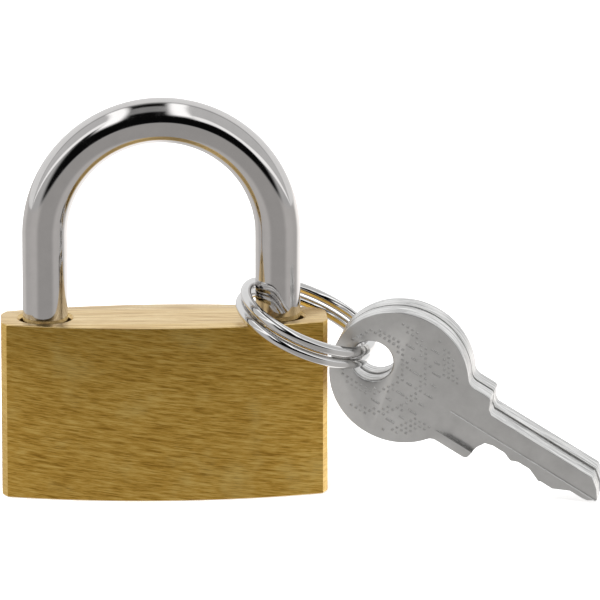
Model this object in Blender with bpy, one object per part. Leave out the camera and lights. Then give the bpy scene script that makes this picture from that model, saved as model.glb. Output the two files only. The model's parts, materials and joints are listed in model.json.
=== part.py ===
"""A thin solid-brass pin-tumbler padlock with its split ring and two keys.

The sizes below are in millimetres and the meshes are in metres. The origin is the centre of the
body's flat base, +Z is up, +X runs towards the shackle's heel leg and -Y is the front face.
The lock is closed with its latch drawn back, as it is with the key turned.
"""
import math

import bmesh
import bpy
from mathutils import Matrix, Vector

MM = 0.001

# Clearances
GAP = 0.15            # between neighbours that only meet
RUN = 0.1             # radial, between a piece and the bore that it turns or slides in

# Body
BODY_WIDTH = 40.4
BODY_THICKNESS = 12.6
END_THICKNESS = 6.8
END_BEVEL_X = 0.65
END_BEVEL_Y = 1.2
EDGE_BREAK = 0.15
TOP_WALL = 1.25

# Shackle
SHACKLE_DIAMETER = 5.6
SHACKLE_BORE_CLEARANCE = 0.4
TOE_INSET = 5.5       # from the body's end to the toe leg's axis
HEEL_INSET = 6.1      # from the body's other end to the heel leg's axis
SHACKLE_STRAIGHT = 10.5
LEG_TIP_BEVEL = 0.6
COUNTERSINK = 0.35
TOE_TIP = 1.9         # the toe leg below its notch
TOE_CLEAR = 1.8       # the open toe above the body
NOTCH_DEPTH = 1.5
NECK_CUT = 0.7
COLLAR_LENGTH = 2.1
SHACKLE_PIN_DIAMETER = 1.5
SHACKLE_PIN_DROP = 3.0
SHACKLE_SPRING_LENGTH = 5.0
SHACKLE_SPRING_WIRE = 0.7

# Cylinder plug
PLUG_DIAMETER = 9.0
FACE_RECESS = 0.2
PLUG_WALL = 1.6       # between the plug's bore and the toe's bore
KEYWAY_WIDTH = 2.4
KEYWAY_SIDE_CLEARANCE = 0.15
GROOVE_WALL = 0.31
GROOVE_WIDTH = 1.1
GROOVE_DEPTH = 0.7
PLUG_LIP = 0.9
PLUG_END_CLEARANCE = 0.15
PLUG_PIN_DIAMETER = 0.9
CRANK_THROW = 1.27
CRANK_DIAMETER = 1.2
CRANK_HEIGHT = 1.5
CRANK_ANGLE = math.radians(-45)
CRANK_WELL_CLEARANCE = 0.25

# Pin stacks
PIN_COUNT = 4
FIRST_PIN = 2.55      # from the key's shoulder to the first pin
PIN_PITCH = 3.68
PIN_DIAMETER = 2.4
DRIVER_LENGTH = 2.5
CHAMBER_PLUG_LENGTH = 2.0
PIN_SPRING_WIRE = 0.3
CUTS = (1.5, 1.6, 2.25, 1.2)   # from the key's middle line to each cut

# Latch
WEB = 0.2             # between the plug's bore and the latch's bore
LATCH_DIAMETER = 2.8
LATCH_TRAVEL = 2 * CRANK_THROW * math.cos(CRANK_ANGLE)
LATCH_TAIL = 4.7      # from the plug's axis to the latch's tail, drawn back
LATCH_NOSE_GAP = 0.4  # from the toe leg to the nose, drawn back
LATCH_SPRING_LENGTH = 3.6
LATCH_SPRING_WIRE = 0.35
LATCH_PLUG_LENGTH = 2.1

# Split ring
RING_RADIUS = 8.4
RING_WIRE = 1.4
RING_COIL_STEP = 1.6
RING_LEG_GAP = 0.12   # between the heel leg and the wire
RING_OFFSET_Y = -1.4  # from the heel leg's axis to the ring's centre
RING_DIP = math.radians(22.5)
RING_ROLL = math.radians(9.5)
RING_CROSSOVER = math.radians(44)
RING_START = math.radians(143)
RING_REST_GAP = 0.12

# Keys
BOW_RADIUS = 8.8
KEY_HOLE_DIAMETER = 5.3
KEY_HOLE_INSET = 3.9  # from the bow's centre to the hole's
KEY_THICKNESS = 2.2
KEY_STACK_GAP = 0.25
COLLAR_TOP = 4.2
COLLAR_BOTTOM = 4.7
COLLAR_TOP_END = 11.1
SHOULDER = 12.7
BLADE_TOP = 2.3
BLADE_UNCUT = 2.8
TIP_PAST_LAST = 2.5         # from the last cut's middle to the tip
KEY_FAN = math.radians(1.2)  # the rear key stands a little higher than the front one
TIP_CORNER_BACK = 0.9     # from the tip to the corner that the key stands on
TIP_CORNER_DROP = 1.1     # below the key's middle line
TIP_NOSE_BACK = 0.15      # the small chamfer under the point
TIP_NOSE_DROP = 0.55
TIP_SLOPE = ((0.8, 1.2), (1.7, 2.0))  # back and up from the point
TIP_LENGTH = 2.1          # from the point to the blade's straight back
BOW_FILLET_TOP = 1.5
BOW_FILLET_BOTTOM = 1.2
COLLAR_CORNER_TOP = 0.5
COLLAR_CORNER_BOTTOM = 0.7
COLLAR_RUN = 0.4          # the slope from the collar's top corner down to the blade
COLLAR_FOOT = 1.0
COLLAR_STEP = 0.5
SHOULDER_STEP = 1.3       # the step under the collar: its height, foot and first slope
SHOULDER_FOOT = 0.15
SHOULDER_RUN = 0.7
SHOULDER_RISE = 1.0
TRIM = 0.1                # the collar's lower corner stops short of the shoulder
CUT_FLAT = 1.7
CUT_SLOPE = 0.45
KEY_GROOVE_TOP = 0.3
KEY_GROOVE_BOTTOM = 3.5
KEY_GROOVE_DEPTH = 0.7
KEY_GROOVE_START = 7.0
KEY_GROOVE_RUNOUT = 2.5
KEY_YAW = math.radians(-14.9)
KEY_LEAN = math.radians(9.7)
KEY_RING_ANGLE = math.radians(-16)
KEY_HANG = 1.1        # along the key, from the ring's wire to the hole's centre
KEY_DROP = 0.2        # and down
TABLE_GAP = 0.05

# Worked out from the sizes above
HALF_WIDTH = BODY_WIDTH / 2
HALF_THICKNESS = BODY_THICKNESS / 2
TOE_X = TOE_INSET - HALF_WIDTH
HEEL_X = HALF_WIDTH - HEEL_INSET
ARCH_X = (TOE_X + HEEL_X) / 2
ARCH_RADIUS = (HEEL_X - TOE_X) / 2
LEG_R = SHACKLE_DIAMETER / 2
LEG_BORE_R = LEG_R + SHACKLE_BORE_CLEARANCE
PLUG_R = PLUG_DIAMETER / 2
PLUG_BORE_R = PLUG_R + RUN
PLUG_X = TOE_X + LEG_BORE_R + PLUG_WALL + PLUG_BORE_R
PIN_R = PIN_DIAMETER / 2
KEY_TIP = SHOULDER + FIRST_PIN + PIN_PITCH * (PIN_COUNT - 1) + TIP_PAST_LAST
CHAMBER_R = PIN_R + RUN
PIN_HEIGHTS = [FACE_RECESS + FIRST_PIN + PIN_PITCH * i for i in range(PIN_COUNT)]
GROOVE_LOW = PIN_HEIGHTS[-1] + CHAMBER_R + GROOVE_WALL
PLUG_TOP = GROOVE_LOW + GROOVE_WIDTH + PLUG_LIP
PLUG_BORE_TOP = PLUG_TOP + PLUG_END_CLEARANCE
KEYWAY_TOP = FACE_RECESS + KEY_TIP - SHOULDER + GAP
LATCH_R = LATCH_DIAMETER / 2
LATCH_BORE_R = LATCH_R + RUN
LATCH_Z = PLUG_BORE_TOP + WEB + LATCH_BORE_R
BODY_HEIGHT = LATCH_Z + LATCH_BORE_R + TOP_WALL
NOTCH_LOW = LATCH_Z - LATCH_R - GAP
NOTCH_HIGH = LATCH_Z + LATCH_R + GAP
TOE_END = NOTCH_LOW - TOE_TIP
LIFT = BODY_HEIGHT - TOE_END + TOE_CLEAR
SHACKLE_PIN_R = SHACKLE_PIN_DIAMETER / 2
SHACKLE_PIN_Z = BODY_HEIGHT - SHACKLE_PIN_DROP
NECK_R = LEG_R - NECK_CUT
NECK_HIGH = SHACKLE_PIN_Z + SHACKLE_PIN_R + GAP
NECK_LOW = SHACKLE_PIN_Z - SHACKLE_PIN_R - GAP - LIFT
HEEL_END = NECK_LOW - COLLAR_LENGTH
HEEL_BORE_LOW = HEEL_END - SHACKLE_SPRING_LENGTH - 2 * GAP
ARCH_Z = BODY_HEIGHT + SHACKLE_STRAIGHT
LATCH_NOSE_X = TOE_X + LEG_R + LATCH_NOSE_GAP
LATCH_TAIL_X = PLUG_X + LATCH_TAIL
LATCH_BORE_END = LATCH_TAIL_X + LATCH_SPRING_LENGTH + 2 * GAP
RING_WIRE_R = RING_WIRE / 2


def material(name, color, roughness, metallic=1.0):
    """A Principled material."""
    made = bpy.data.materials.new(name)
    made.use_nodes = True
    shader = made.node_tree.nodes["Principled BSDF"]
    shader.inputs["Base Color"].default_value = (*color, 1.0)
    shader.inputs["Roughness"].default_value = roughness
    shader.inputs["Metallic"].default_value = metallic
    return made


def add_mesh(name, verts, faces, surface, place=None):
    """One closed mesh object from points in millimetres, with its faces turned outwards."""
    mesh = bpy.data.meshes.new(name)
    bm = bmesh.new()
    points = [bm.verts.new(Vector(v) * MM) for v in verts]
    for face in faces:
        bm.faces.new([points[i] for i in face])
    bmesh.ops.recalc_face_normals(bm, faces=bm.faces[:])
    bm.to_mesh(mesh)
    bm.free()
    mesh.shade_smooth()
    mesh.set_sharp_from_angle(angle=math.radians(30))
    obj = bpy.data.objects.new(name, mesh)
    if surface:
        mesh.materials.append(surface)
    bpy.context.collection.objects.link(obj)
    if place:
        obj.matrix_world = place
    return obj


def at(x, y, z):
    """A place in millimetres."""
    return Matrix.Translation(Vector((x, y, z)) * MM)


def along(direction):
    """The turn that points local +Z along a direction."""
    return Vector((0, 0, 1)).rotation_difference(Vector(direction)).to_matrix().to_4x4()


def loft(rings):
    """The points and faces of a solid through rings of equal counts, closed by its end rings."""
    count = len(rings[0])
    verts = [v for ring in rings for v in ring]
    faces = []
    for i in range(len(rings) - 1):
        for k in range(count):
            n = (k + 1) % count
            low = i * count
            high = low + count
            faces.append((low + k, low + n, high + n, high + k))
    last = (len(rings) - 1) * count
    faces.append(tuple(reversed(range(count))))
    faces.append(tuple(last + k for k in range(count)))
    return verts, faces


def circle(radius, z, sides):
    """A ring of points about Z."""
    turns = [math.tau * k / sides for k in range(sides)]
    return [(radius * math.cos(a), radius * math.sin(a), z) for a in turns]


def turned(name, profile, surface, place=None, sides=24):
    """A solid turned about local Z from (radius, height) pairs, lowest first."""
    verts, faces = loft([circle(r, z, sides) for r, z in profile])
    return add_mesh(name, verts, faces, surface, place)


def box(name, low, high, surface=None, place=None):
    """A box between two corners."""
    rings = []
    corners = ((low[0], low[1]), (high[0], low[1]), (high[0], high[1]), (low[0], high[1]))
    for z in (low[2], high[2]):
        rings.append([(x, y, z) for x, y in corners])
    verts, faces = loft(rings)
    return add_mesh(name, verts, faces, surface, place)


def tube(name, points, radii, surface, place=None, sides=12):
    """A round bar along points, with a radius at each."""
    points = [Vector(p) for p in points]
    last = len(points) - 1
    ahead = points[1] - points[0]
    side = ahead.orthogonal().normalized()
    rings = []
    for i, point in enumerate(points):
        before = points[max(i - 1, 0)]
        after = points[min(i + 1, last)]
        turn = ahead.rotation_difference(after - before)
        side = turn @ side
        ahead = after - before
        cross = ahead.cross(side).normalized()
        angles = [math.tau * k / sides for k in range(sides)]
        rings.append([point + radii[i] * (math.cos(a) * side + math.sin(a) * cross) for a in angles])
    verts, faces = loft(rings)
    return add_mesh(name, verts, faces, surface, place)


def cut(obj, cutter):
    """Cut one solid out of another."""
    cutter.hide_render = True
    cutter.display_type = "WIRE"
    boolean = obj.modifiers.new(cutter.name, "BOOLEAN")
    boolean.operation = "DIFFERENCE"
    boolean.solver = "EXACT"
    boolean.object = cutter


def drill(obj, name, start, direction, depth, radius, sides=24, place=None):
    """Drill a round hole from a point."""
    spot = (place or Matrix.Identity(4)) @ at(*start) @ along(direction)
    cut(obj, turned(name, [(radius, 0), (radius, depth)], None, spot, sides))


def spring_points(radius, low, high, turns, steps=9):
    """The middle line of a coil spring along local Z."""
    count = int(turns * steps)
    spots = []
    for i in range(count + 1):
        a = math.tau * i / steps
        spots.append((radius * math.cos(a), radius * math.sin(a), low + (high - low) * i / count))
    return spots


def spring(name, outer, wire, length, turns, surface, place):
    """A coil spring that stands on local z = 0."""
    points = spring_points(outer - wire / 2, wire / 2, length - wire / 2, turns)
    return tube(name, points, [wire / 2] * len(points), surface, place, sides=6)


def half_depth(x):
    """The body's half thickness at a distance from its middle."""
    bulge = (BODY_THICKNESS - END_THICKNESS) / 2
    radius = (HALF_WIDTH ** 2 + bulge ** 2) / (2 * bulge)
    return HALF_THICKNESS - radius + math.sqrt(radius ** 2 - x ** 2)


def body_outline(z, inset, steps=24):
    """The body's plan, with curved front and back and bevelled ends."""
    reach = HALF_WIDTH - END_BEVEL_X
    xs = [-reach + 2 * reach * i / steps for i in range(steps + 1)]
    end = half_depth(HALF_WIDTH) - END_BEVEL_Y
    scale = (HALF_WIDTH - inset) / HALF_WIDTH
    front = [(x * scale, inset - half_depth(x), z) for x in xs]
    back = [(x, -y, z) for x, y, _ in reversed(front)]
    right = [(HALF_WIDTH - inset, -end, z), (HALF_WIDTH - inset, end, z)]
    left = [(-x, -y, z) for x, y, _ in right]
    return front + right + back + left


def build_body(brass):
    """The solid body with every bore that is drilled into it."""
    top = BODY_HEIGHT
    layers = ((0, EDGE_BREAK), (EDGE_BREAK, 0), (top - EDGE_BREAK, 0), (top, EDGE_BREAK))
    verts, faces = loft([body_outline(z, inset) for z, inset in layers])
    body = add_mesh("body", verts, faces, brass)

    over = 1.0
    bores = (("cut_toe_bore", TOE_X, TOE_END - 2 * GAP), ("cut_heel_bore", HEEL_X, HEEL_BORE_LOW))
    for name, x, low in bores:
        mouth = LEG_BORE_R + COUNTERSINK + over
        profile = [(LEG_BORE_R, low), (LEG_BORE_R, top - COUNTERSINK), (mouth, top + over)]
        cut(body, turned(name, profile, None, at(x, 0, 0), 32))

    drill(body, "cut_plug_bore", (PLUG_X, 0, -over), (0, 0, 1), PLUG_BORE_TOP + over, PLUG_BORE_R, 40)
    well = CRANK_THROW + CRANK_DIAMETER / 2 + CRANK_WELL_CLEARANCE
    well_low = PLUG_BORE_TOP - over
    well_top = PLUG_TOP + CRANK_HEIGHT + GAP
    drill(body, "cut_crank_well", (PLUG_X, 0, well_low), (0, 0, 1), well_top - well_low, well)
    start = -HALF_WIDTH - over
    for i, z in enumerate(PIN_HEIGHTS):
        depth = PLUG_X - PLUG_R + over / 2 - start
        drill(body, f"cut_chamber_{i + 1}", (start, 0, z), (1, 0, 0), depth, CHAMBER_R)
    drill(body, "cut_latch_bore", (start, 0, LATCH_Z), (1, 0, 0), LATCH_BORE_END - start, LATCH_BORE_R)
    for name, place in (("cut_plug_pin", plug_pin_place()), ("cut_shackle_pin", shackle_pin_place())):
        x, z, radius, low, _ = place
        drill(body, name, (x, low - GAP, z), (0, 1, 0), BODY_THICKNESS, radius + RUN / 2, 16)
    return body


def plug_pin_place():
    """The cylinder retaining pin's axis, radius and ends along Y."""
    radius = PLUG_PIN_DIAMETER / 2
    x = PLUG_X + PLUG_R - GROOVE_DEPTH + RUN + radius
    z = GROOVE_LOW + GROOVE_WIDTH / 2
    return x, z, radius, -PLUG_R / 2, half_depth(x) - GAP


def shackle_pin_place():
    """The shackle retaining pin's axis, radius and ends along Y."""
    x = HEEL_X - NECK_R - RUN - SHACKLE_PIN_R
    return x, SHACKLE_PIN_Z, SHACKLE_PIN_R, -LEG_BORE_R, half_depth(x) - GAP


def build_cross_pins(steel):
    """The two pins pressed in from the back face."""
    pins = (("cylinder_retaining_pin", plug_pin_place()), ("shackle_retaining_pin", shackle_pin_place()))
    for name, (x, z, radius, low, high) in pins:
        bevel = radius / 4
        length = high - low
        profile = [(radius - bevel, 0), (radius, bevel), (radius, length - bevel), (radius - bevel, length)]
        turned(name, profile, steel, at(x, low, z) @ along((0, 1, 0)), 16)


def build_shackle(steel):
    """The bent bar: notched toe leg, arch, and necked heel leg."""
    line = []
    tip = LEG_R - LEG_TIP_BEVEL
    line.append((TOE_X, TOE_END, tip))
    line.append((TOE_X, TOE_END + LEG_TIP_BEVEL, LEG_R))
    steps = 30
    for i in range(steps + 1):
        a = math.pi - math.pi * i / steps
        line.append((ARCH_X + ARCH_RADIUS * math.cos(a), ARCH_Z + ARCH_RADIUS * math.sin(a), LEG_R))
    line.append((HEEL_X, NECK_HIGH, LEG_R))
    line.append((HEEL_X, NECK_HIGH - RUN, NECK_R))
    line.append((HEEL_X, NECK_LOW + RUN, NECK_R))
    line.append((HEEL_X, NECK_LOW, LEG_R))
    line.append((HEEL_X, HEEL_END + LEG_TIP_BEVEL, LEG_R))
    line.append((HEEL_X, HEEL_END, tip))
    points = [(x, 0, z) for x, z, _ in line]
    radii = [r for _, _, r in line]
    shackle = tube("shackle", points, radii, steel, sides=24)
    inner = TOE_X + LEG_R
    low = (inner - NOTCH_DEPTH, -2 * LEG_R, NOTCH_LOW)
    high = (inner + 1.0, 2 * LEG_R, NOTCH_HIGH)
    cut(shackle, box("cut_toe_notch", low, high))
    place = at(HEEL_X, 0, HEEL_END - GAP - SHACKLE_SPRING_LENGTH)
    spring("shackle_spring", LEG_R - GAP, SHACKLE_SPRING_WIRE, SHACKLE_SPRING_LENGTH, 4, steel, place)


def build_plug(brass):
    """The cylinder plug, with its chambers towards the front, its keyway and its crank pin."""
    place = at(PLUG_X, 0, 0)
    groove_r = PLUG_R - GROOVE_DEPTH
    groove_high = GROOVE_LOW + GROOVE_WIDTH
    profile = [(PLUG_R, FACE_RECESS), (PLUG_R, GROOVE_LOW), (groove_r, GROOVE_LOW), (groove_r, groove_high)]
    profile += [(PLUG_R, groove_high), (PLUG_R, PLUG_TOP)]
    plug = turned("cylinder_plug", profile, brass, place, 40)
    throw = Vector((math.cos(CRANK_ANGLE), math.sin(CRANK_ANGLE), 0)) * CRANK_THROW
    foot = PLUG_TOP - PLUG_LIP / 2
    profile = [(CRANK_DIAMETER / 2, foot), (CRANK_DIAMETER / 2, PLUG_TOP + CRANK_HEIGHT)]
    crank = turned("crank_pin", profile, None, place @ at(*throw), 16)
    crank.hide_render = True
    crank.display_type = "WIRE"
    joined = plug.modifiers.new("crank_pin", "BOOLEAN")
    joined.operation = "UNION"
    joined.solver = "EXACT"
    joined.object = crank
    half = KEYWAY_WIDTH / 2
    low = (-half, -BLADE_UNCUT - KEYWAY_SIDE_CLEARANCE, FACE_RECESS - 1.0)
    high = (half, BLADE_TOP + KEYWAY_SIDE_CLEARANCE, KEYWAY_TOP)
    cut(plug, box("cut_keyway", low, high, None, place))
    for i, z in enumerate(PIN_HEIGHTS):
        drill(plug, f"cut_plug_chamber_{i + 1}", (PLUG_X, 0, z), (0, -1, 0), PLUG_DIAMETER, CHAMBER_R)


def build_pin_stacks(brass, steel):
    """Each chamber's key pin, driver pin, spring and closing plug."""
    driver_x = PLUG_X - PLUG_BORE_R - RUN / 2
    seat_x = -HALF_WIDTH + GAP + CHAMBER_PLUG_LENGTH
    spring_length = driver_x - DRIVER_LENGTH - seat_x - 2 * GAP
    bevel = PIN_R / 4
    crown = PLUG_R - RUN
    for i, z in enumerate(PIN_HEIGHTS):
        number = i + 1
        profile = [(PIN_R / 3, CUTS[i]), (PIN_R, CUTS[i] + PIN_R / 2), (PIN_R, crown - bevel)]
        profile.append((PIN_R - bevel, crown))
        turned(f"key_pin_{number}", profile, brass, at(PLUG_X, 0, z) @ along((0, -1, 0)))
        profile = [(PIN_R - bevel, 0), (PIN_R, bevel), (PIN_R, DRIVER_LENGTH - bevel)]
        profile.append((PIN_R - bevel, DRIVER_LENGTH))
        turned(f"driver_pin_{number}", profile, brass, at(driver_x, 0, z) @ along((-1, 0, 0)))
        place = at(seat_x + GAP, 0, z) @ along((1, 0, 0))
        spring(f"pin_spring_{number}", PIN_R - RUN, PIN_SPRING_WIRE, spring_length, 5, steel, place)
        radius = CHAMBER_R - RUN / 2
        profile = [(radius, 0), (radius, CHAMBER_PLUG_LENGTH)]
        turned(f"chamber_plug_{number}", profile, brass, at(seat_x, 0, z) @ along((-1, 0, 0)))


def build_latch(brass, steel):
    """The latch bolt, drawn back from the toe leg, with its spring and the plug of its bore."""
    length = LATCH_TAIL_X - LATCH_NOSE_X
    profile = [(LATCH_R, 0), (LATCH_R, length - RUN), (LATCH_R - RUN, length)]
    latch = turned("latch_bolt", profile, brass, at(LATCH_NOSE_X, 0, LATCH_Z) @ along((1, 0, 0)))
    crank_x = PLUG_X + CRANK_THROW * math.cos(CRANK_ANGLE)
    crank_r = CRANK_DIAMETER / 2
    slot_top = PLUG_TOP + CRANK_HEIGHT + GAP
    low = (crank_x - crank_r - GAP - LATCH_TRAVEL, -LATCH_DIAMETER, LATCH_Z - LATCH_DIAMETER)
    high = (crank_x + crank_r + GAP, LATCH_DIAMETER, slot_top)
    cut(latch, box("cut_crank_slot", low, high))
    slope = at(LATCH_NOSE_X, 0, LATCH_Z + LATCH_R * 0.4) @ Matrix.Rotation(math.radians(-45), 4, "Y")
    size = LATCH_DIAMETER
    cut(latch, box("cut_latch_bevel", (-size, -size, 0), (size, size, size), None, slope))
    place = at(LATCH_TAIL_X + GAP, 0, LATCH_Z) @ along((1, 0, 0))
    spring("latch_spring", LATCH_R - RUN, LATCH_SPRING_WIRE, LATCH_SPRING_LENGTH, 5, steel, place)
    radius = LATCH_BORE_R - RUN / 2
    place = at(-HALF_WIDTH + GAP, 0, LATCH_Z) @ along((1, 0, 0))
    turned("latch_bore_plug", [(radius, 0), (radius, LATCH_PLUG_LENGTH)], brass, place)


def ring_frame():
    """The split ring's place: its loop against the heel leg, resting on the edges of the body's top."""
    turn = Matrix.Rotation(RING_ROLL, 4, "X") @ Matrix.Rotation(RING_DIP, 4, "Y")
    loop = []
    for height in (-RING_COIL_STEP / 2, RING_COIL_STEP / 2):
        for i in range(360):
            a = math.radians(i)
            spot = turn @ Vector((RING_RADIUS * math.cos(a), RING_RADIUS * math.sin(a), height))
            loop.append(spot + Vector((0, RING_OFFSET_Y, 0)))
    reach = LEG_R + RING_WIRE_R + RING_LEG_GAP
    behind = [spot for spot in loop if spot.x < 0 and abs(spot.y) < reach]
    centre_x = HEEL_X + min(-math.sqrt(reach ** 2 - spot.y ** 2) - spot.x for spot in behind)
    reach = RING_WIRE_R + RING_REST_GAP
    rest = 0.0
    for spot in loop:
        x = centre_x + spot.x
        if abs(x) > HALF_WIDTH:
            continue
        outside = max(0.0, abs(spot.y) - half_depth(x))
        if outside < reach:
            rest = max(rest, BODY_HEIGHT + math.sqrt(reach ** 2 - outside ** 2) - spot.z)
    return at(centre_x, RING_OFFSET_Y, rest) @ turn


def ring_height(angle):
    """The wire's height in the coil at an angle counted over both turns."""
    half = RING_COIL_STEP / 2
    start = math.tau - RING_CROSSOVER
    share = min(max((angle - start) / RING_CROSSOVER, 0.0), 1.0)
    return half - RING_COIL_STEP * (3 - 2 * share) * share * share


def build_ring(steel):
    """The split ring: two turns of wire, one over the other, with one crossover."""
    frame = ring_frame()
    steps = 76
    total = 2 * math.tau - 0.9 * RING_CROSSOVER
    points = []
    for i in range(steps + 1):
        a = total * i / steps
        turn = a + RING_START
        points.append((RING_RADIUS * math.cos(turn), RING_RADIUS * math.sin(turn), ring_height(a)))
    radii = [RING_WIRE_R] * len(points)
    tube("split_ring", points, radii, steel, frame, sides=10)
    return frame


def arc(centre, radius, start, end, steps):
    """Points of an arc in the key's plane, from one angle to another in degrees."""
    points = []
    for i in range(steps + 1):
        a = math.radians(start + (end - start) * i / steps)
        points.append((centre[0] + radius * math.cos(a), centre[1] + radius * math.sin(a)))
    return points


def bow_fillet(height, radius):
    """The centre of the fillet between the round bow and a collar edge at a height."""
    side = math.copysign(radius, height)
    z = height + side
    return math.sqrt((BOW_RADIUS + radius) ** 2 - z ** 2), z


def bitting():
    """The cut edge of the blade, from the shoulder to the tip."""
    points = [(SHOULDER, -COLLAR_BOTTOM + SHOULDER_STEP)]
    points += [(SHOULDER + SHOULDER_FOOT, -BLADE_UNCUT)]
    points += [(SHOULDER + SHOULDER_RUN, -BLADE_UNCUT + SHOULDER_RISE)]
    for i, depth in enumerate(CUTS):
        middle = SHOULDER + FIRST_PIN + PIN_PITCH * i
        points.append((middle - CUT_FLAT / 2, -depth))
        points.append((middle + CUT_FLAT / 2, -depth))
        if i + 1 < PIN_COUNT:
            space = PIN_PITCH - CUT_FLAT
            step = CUTS[i + 1] - depth
            share = (step / CUT_SLOPE + space) / 2
            if 0 < share < space:
                points.append((middle + CUT_FLAT / 2 + share, -depth - CUT_SLOPE * share))
    return points


def key_outline():
    """The key's face, anticlockwise from the fillet above the blade, about the bow's centre."""
    top = bow_fillet(COLLAR_TOP, BOW_FILLET_TOP)
    bottom = bow_fillet(-COLLAR_BOTTOM, BOW_FILLET_BOTTOM)
    top_angle = math.degrees(math.atan2(top[1], top[0]))
    bottom_angle = math.degrees(math.atan2(bottom[1], bottom[0])) % 360
    points = arc(top, BOW_FILLET_TOP, 270, 180 + top_angle, 4)
    points += arc((0, 0), BOW_RADIUS, top_angle, bottom_angle, 40)[1:-1]
    points += arc(bottom, BOW_FILLET_BOTTOM, bottom_angle - 180, 90, 4)
    corner = COLLAR_CORNER_BOTTOM
    points += arc((SHOULDER - corner - TRIM, -COLLAR_BOTTOM + corner), corner, 270, 330, 3)
    points += bitting()
    points += [(KEY_TIP - TIP_CORNER_BACK, -TIP_CORNER_DROP)]
    points += [(KEY_TIP - TIP_NOSE_BACK, -TIP_NOSE_DROP), (KEY_TIP, 0.0)]
    points += [(KEY_TIP - back, up) for back, up in TIP_SLOPE]
    points += [(KEY_TIP - TIP_LENGTH, BLADE_TOP)]
    points += [(COLLAR_TOP_END + COLLAR_FOOT, BLADE_TOP)]
    points += [(COLLAR_TOP_END + COLLAR_RUN, BLADE_TOP + COLLAR_STEP)]
    corner = COLLAR_CORNER_TOP
    points += arc((COLLAR_TOP_END - corner, COLLAR_TOP - corner), corner, 0, 90, 3)
    return points


def key_frame(hole, fan):
    """A key's place: its hole at a point, pitched until its tip meets the surface below, less a fan."""
    reach = KEY_TIP - TIP_CORNER_BACK + KEY_HOLE_INSET
    low = hole.z - TABLE_GAP - KEY_THICKNESS / 2 * math.sin(KEY_LEAN)
    rise = low / math.cos(KEY_LEAN) / math.hypot(reach, TIP_CORNER_DROP)
    pitch = math.asin(rise) - math.atan2(TIP_CORNER_DROP, reach)
    turn = Matrix.Rotation(KEY_YAW, 4, "Z") @ Matrix.Rotation(KEY_LEAN, 4, "X")
    return at(*hole) @ turn @ Matrix.Rotation(pitch - fan, 4, "Y")


def build_keys(frame, nickel):
    """Two alike keys, side by side on the ring."""
    wire = Vector((math.cos(KEY_RING_ANGLE), math.sin(KEY_RING_ANGLE), 0)) * RING_RADIUS * MM
    turn = Matrix.Rotation(KEY_YAW, 4, "Z") @ Matrix.Rotation(KEY_LEAN, 4, "X")
    back = turn @ Vector((0, 1, 0))
    heading = turn @ Vector((1, 0, 0))
    upright = turn @ Vector((0, 0, 1))
    spread = (KEY_THICKNESS + KEY_STACK_GAP) / 2
    outline = [(x + KEY_HOLE_INSET, z) for x, z in key_outline()]
    for name, side, fan in (("key_front", -1, 0.0), ("key_rear", 1, KEY_FAN)):
        hole = (frame @ wire) / MM + KEY_HANG * heading - KEY_DROP * upright + side * spread * back
        place = key_frame(hole, fan)
        half = KEY_THICKNESS / 2
        rings = [[(x, y, z) for x, z in outline] for y in (-half, half)]
        verts, faces = loft(rings)
        key = add_mesh(name, verts, faces, nickel, place)
        hole_r = KEY_HOLE_DIAMETER / 2
        drill(key, f"cut_{name}_hole", (0, -2 * half, 0), (0, 1, 0), 4 * half, hole_r, 32, place)
        start = KEY_GROOVE_START + KEY_HOLE_INSET
        end = KEY_TIP + KEY_HOLE_INSET + 1.0
        deep = KEY_GROOVE_DEPTH - half
        profile = [(start, -half), (start + KEY_GROOVE_RUNOUT, deep), (end, deep)]
        profile += [(end, -half - 1), (start, -half - 1)]
        rings = [[(x, y, z) for x, y in profile] for z in (-KEY_GROOVE_BOTTOM, -KEY_GROOVE_TOP)]
        verts, faces = loft(rings)
        cut(key, add_mesh(f"cut_{name}_groove", verts, faces, None, place))


def build():
    """The whole padlock."""
    for obj in list(bpy.data.objects):
        bpy.data.objects.remove(obj)
    brass = material("satin_brass", (0.60, 0.42, 0.13), 0.35)
    pin_brass = material("pin_brass", (0.72, 0.55, 0.25), 0.3)
    chrome = material("polished_chrome", (0.75, 0.75, 0.75), 0.08)
    spring_steel = material("spring_steel", (0.5, 0.5, 0.5), 0.3)
    nickel = material("nickel_key", (0.66, 0.66, 0.65), 0.35)
    build_body(brass)
    build_cross_pins(spring_steel)
    build_shackle(chrome)
    build_plug(brass)
    build_pin_stacks(pin_brass, spring_steel)
    build_latch(pin_brass, spring_steel)
    frame = build_ring(chrome)
    build_keys(frame, nickel)


build()
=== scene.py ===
"""Studio scene of a small brass padlock with two keys on a split ring."""
import json
import math

import bmesh
import bpy
from mathutils import Matrix, Vector


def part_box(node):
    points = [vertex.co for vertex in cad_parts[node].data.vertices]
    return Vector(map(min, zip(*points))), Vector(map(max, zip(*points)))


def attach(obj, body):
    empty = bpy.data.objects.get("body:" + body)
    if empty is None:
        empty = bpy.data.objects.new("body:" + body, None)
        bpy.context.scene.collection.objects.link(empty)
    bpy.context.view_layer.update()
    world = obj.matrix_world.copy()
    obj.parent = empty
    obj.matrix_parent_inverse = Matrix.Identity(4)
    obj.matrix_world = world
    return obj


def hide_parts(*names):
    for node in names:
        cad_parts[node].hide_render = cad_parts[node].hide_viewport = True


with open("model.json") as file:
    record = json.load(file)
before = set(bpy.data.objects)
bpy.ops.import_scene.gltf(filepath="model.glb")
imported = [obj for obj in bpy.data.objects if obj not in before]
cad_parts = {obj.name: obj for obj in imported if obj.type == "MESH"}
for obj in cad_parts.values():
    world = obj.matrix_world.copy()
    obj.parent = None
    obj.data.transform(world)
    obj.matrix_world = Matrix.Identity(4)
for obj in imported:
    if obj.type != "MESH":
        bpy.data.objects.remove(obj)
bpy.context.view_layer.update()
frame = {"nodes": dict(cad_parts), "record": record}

MM = 0.001

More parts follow.
